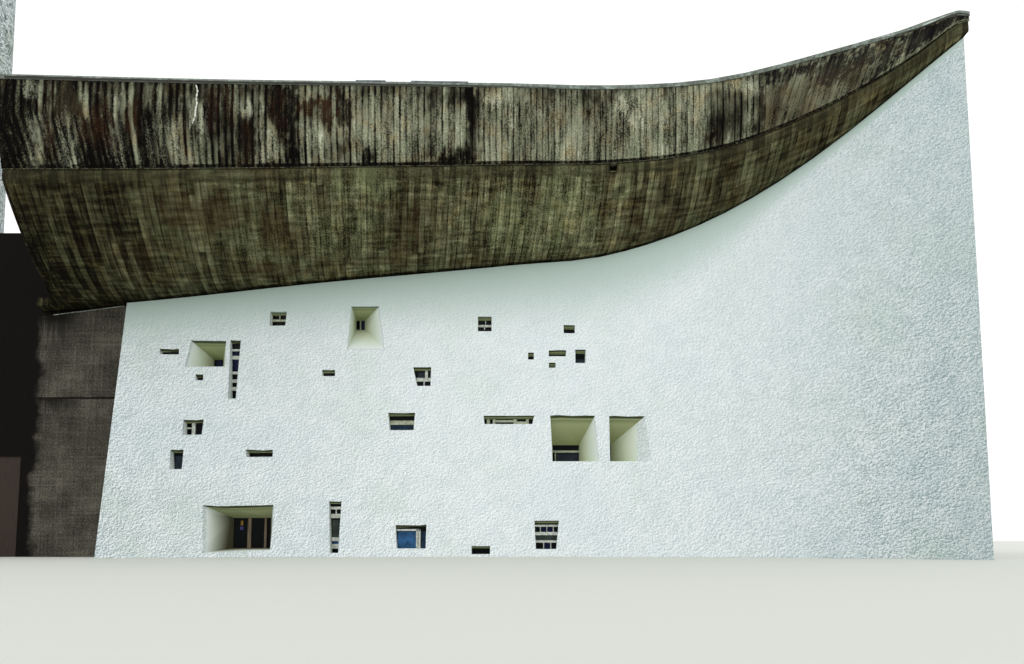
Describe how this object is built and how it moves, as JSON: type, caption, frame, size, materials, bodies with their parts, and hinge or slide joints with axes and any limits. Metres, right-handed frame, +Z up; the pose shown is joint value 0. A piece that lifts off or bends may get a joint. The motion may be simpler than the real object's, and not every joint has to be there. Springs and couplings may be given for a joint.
{
  "type": "modern church building",
  "caption": "Modern church with a thick battered white wall of deep splayed windows, a boat-shaped board-marked concrete roof rising to a prow, and a round tower.",
  "frame": {"origin": "on the ground under the floor slab, level with the middle of the nave", "axes": "+X along the nave to the east, towards the roof's prow; +Y to the north, away from the window wall; +Z up"},
  "size_m": [33.72, 19.4209, 22.0003],
  "materials": {
    "roughcast": "coarse white roughcast plaster",
    "band_concrete": "weathered board-marked concrete",
    "soffit_concrete": "dark board-marked concrete",
    "porch_concrete": "dark in-situ concrete",
    "cap_mortar": "weathered grey-green coping",
    "glass": "dark window glass",
    "door_paint": "dull brown paint",
    "floor_stone": "honed stone"
  },
  "bodies": {
    "root": {"floor_slab": "floor_stone", "south_wall_1": "roughcast", "south_wall_2": "roughcast", "south_wall_3": "roughcast", "south_wall_4": "roughcast", "south_wall_5": "roughcast", "south_wall_6": "roughcast", "south_pane_01": "glass", "south_pane_02": "glass", "south_pane_03": "glass", "south_pane_04": "glass", "south_pane_05": "glass", "south_pane_06": "glass", "south_pane_07": "glass", "south_pane_08": "glass", "south_pane_09": "glass", "south_pane_10": "glass", "south_pane_11": "glass", "south_pane_12": "glass", "south_pane_13": "glass", "south_pane_14": "glass", "south_pane_15": "glass", "south_pane_16": "glass", "south_pane_17": "glass", "south_pane_18": "glass", "south_pane_19": "glass", "south_pane_20": "glass", "south_pane_21": "glass", "south_pane_22": "glass", "south_pane_23": "glass", "south_pane_24": "glass", "south_pane_25": "glass", "south_pane_26": "glass", "porch_wall": "porch_concrete", "main_door": "door_paint", "west_wall": "roughcast", "north_wall_west": "roughcast", "north_wall_east": "roughcast", "north_pane_1": "glass", "north_pane_2": "glass", "north_pane_3": "glass", "north_pane_4": "glass", "east_wall": "roughcast", "east_pane_1": "glass", "east_pane_2": "glass", "tower_wall_south": "roughcast", "tower_wall_north": "roughcast", "tower_roof": "roughcast", "roof_lower_shell_west": "soffit_concrete", "roof_lower_shell_east": "soffit_concrete", "roof_upper_shell": "band_concrete", "roof_band_south": "band_concrete", "roof_band_north": "band_concrete", "roof_band_east": "band_concrete", "roof_band_west": "band_concrete", "roof_band_northwest": "band_concrete", "roof_edge_cap": "cap_mortar"}
  },
  "joints": []
}
